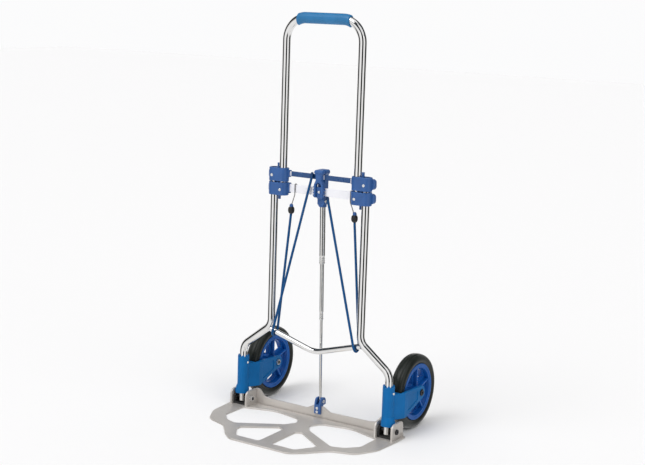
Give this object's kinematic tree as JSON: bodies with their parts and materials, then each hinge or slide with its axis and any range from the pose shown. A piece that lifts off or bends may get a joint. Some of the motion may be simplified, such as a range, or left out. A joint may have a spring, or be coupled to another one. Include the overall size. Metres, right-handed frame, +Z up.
{
  "type": "folding luggage cart",
  "caption": "Folding two-wheeled luggage cart with a telescopic tube handle, spoked folding toe plate, swing-in wheels, a latch, a telescopic rod and elastic cords.",
  "frame": {"origin": "centre of the cart's footprint, on the floor", "axes": "+Z up along the side tubes, +Y from the toe plate towards the wheels, +X to the right seen from the toe plate"},
  "size_m": [0.48, 0.432, 0.976],
  "materials": {
    "chrome_tube": "bright chrome plating",
    "rod_steel": "plated steel",
    "block_plastic": "moulded, fine texture",
    "bar_aluminium": "anodised, bright",
    "sleeve_plastic": "smooth film",
    "nylon": "moulded nylon",
    "rivet_steel": "zinc plated",
    "spring_steel": "spring wire",
    "cast_plate": "satin cast aluminium",
    "grip_plastic": "soft-touch moulding",
    "black_liner": "moulded rubber",
    "black_bolt": "black oxide",
    "fork_plastic": "moulded, fine texture",
    "hub_plastic": "moulded, satin",
    "tyre_rubber": "solid rubber",
    "cord_fabric": "woven sheath",
    "ball_plastic": "moulded",
    "clip_plastic": "moulded"
  },
  "bodies": {
    "frame": {"side_tube_left": "chrome_tube", "side_tube_right": "chrome_tube", "cross_tube": "chrome_tube", "upper_block_left": "block_plastic", "upper_block_right": "block_plastic", "upper_crossbar": "bar_aluminium", "crossbar_sleeves": "sleeve_plastic", "handle_bushes": "nylon", "upper_block_rivets": "rivet_steel"},
    "toe": {"toe_plate": "cast_plate", "lug_liner_left": "black_liner", "lug_liner_right": "black_liner", "hinge_bolt_left": "black_bolt", "hinge_bolt_right": "black_bolt", "hinge_nut_left": "rivet_steel", "hinge_nut_right": "rivet_steel", "rod_link": "block_plastic", "link_pins": "rivet_steel", "link_rivets": "rivet_steel"},
    "handle": {"handle_tube": "chrome_tube", "handle_grip": "grip_plastic", "lower_block_left": "block_plastic", "lower_block_right": "block_plastic", "lower_crossbar": "bar_aluminium", "side_bushes": "nylon", "lower_block_rivets": "rivet_steel", "rod_socket": "block_plastic", "socket_rivet": "rivet_steel", "cord_stud": "rivet_steel", "latch_pin": "rivet_steel", "latch_spring": "spring_steel", "bungee_left": "cord_fabric", "bungee_right": "cord_fabric", "bungee_ball_left": "ball_plastic", "bungee_ball_right": "ball_plastic", "bungee_hook_left": "spring_steel", "bungee_hook_right": "spring_steel", "bungee_clip_left": "clip_plastic", "bungee_clip_right": "clip_plastic"},
    "latch": {"latch_lever": "block_plastic"},
    "rod_top": {"rod_upper": "rod_steel"},
    "rod_middle": {"rod_mid": "rod_steel"},
    "rod_bottom": {"rod_lower": "rod_steel"},
    "fork_left": {"fork_left": "fork_plastic", "fork_pin_left": "nylon", "axle_bolt_left": "black_bolt", "axle_nut_left": "rivet_steel"},
    "wheel_left": {"wheel_hub_left": "hub_plastic", "axle_bush_left": "nylon", "tyre_left": "tyre_rubber"},
    "fork_right": {"fork_right": "fork_plastic", "fork_pin_right": "nylon", "axle_bolt_right": "black_bolt", "axle_nut_right": "rivet_steel"},
    "wheel_right": {"wheel_hub_right": "hub_plastic", "axle_bush_right": "nylon", "tyre_right": "tyre_rubber"}
  },
  "joints": [
    {"name": "handle_slide", "type": "slide", "parent": "frame", "child": "handle", "axis": [0, 0, 1], "range_m": [-0.275, 0], "deforming": ["bungee_left", "bungee_right"]},
    {"name": "toe_fold", "type": "hinge", "parent": "frame", "child": "toe", "pos_m": [0, 0.011, 0.022], "axis": [1, 0, 0], "range_deg": [-90, 0]},
    {"name": "fork_fold_left", "type": "hinge", "parent": "frame", "child": "fork_left", "pos_m": [-0.208, 0.011, 0.09], "axis": [0, 0, 1], "range_deg": [-90, 0]},
    {"name": "fork_fold_right", "type": "hinge", "parent": "frame", "child": "fork_right", "pos_m": [0.208, 0.011, 0.09], "axis": [0, 0, 1], "range_deg": [0, 90]},
    {"name": "wheel_spin_left", "type": "hinge", "parent": "fork_left", "child": "wheel_left", "pos_m": [-0.208, 0.126, 0.09], "axis": [1, 0, 0], "continuous": true},
    {"name": "wheel_spin_right", "type": "hinge", "parent": "fork_right", "child": "wheel_right", "pos_m": [0.208, 0.126, 0.09], "axis": [1, 0, 0], "continuous": true},
    {"name": "latch_tilt", "type": "hinge", "parent": "handle", "child": "latch", "pos_m": [0, 0.0115, 0.554], "axis": [1, 0, 0], "range_deg": [0, 12], "stiffness_Nm_per_rad": 0.3, "springref_deg": -11.46},
    {"name": "rod_drop", "type": "slide", "parent": "handle", "child": "rod_top", "axis": [0, -0.0351, 0.9994], "range_m": [-0.0551, 0]},
    {"name": "rod_mid_slide", "type": "slide", "parent": "rod_top", "child": "rod_middle", "axis": [0, -0.0351, 0.9994], "range_m": [0, 0.1376]},
    {"name": "rod_lower_slide", "type": "slide", "parent": "rod_middle", "child": "rod_bottom", "axis": [0, -0.0351, 0.9994], "range_m": [0, 0.1376]}
  ],
  "couplings": [
    {"joint": "fork_fold_left", "follows": "toe_fold", "ratio": 1},
    {"joint": "fork_fold_right", "follows": "toe_fold", "ratio": -1},
    {"joint": "rod_drop", "follows": "toe_fold", "m_per_rad": 0.035014},
    {"joint": "rod_mid_slide", "follows": "handle_slide", "ratio": -0.5},
    {"joint": "rod_lower_slide", "follows": "handle_slide", "ratio": -0.5}
  ]
}
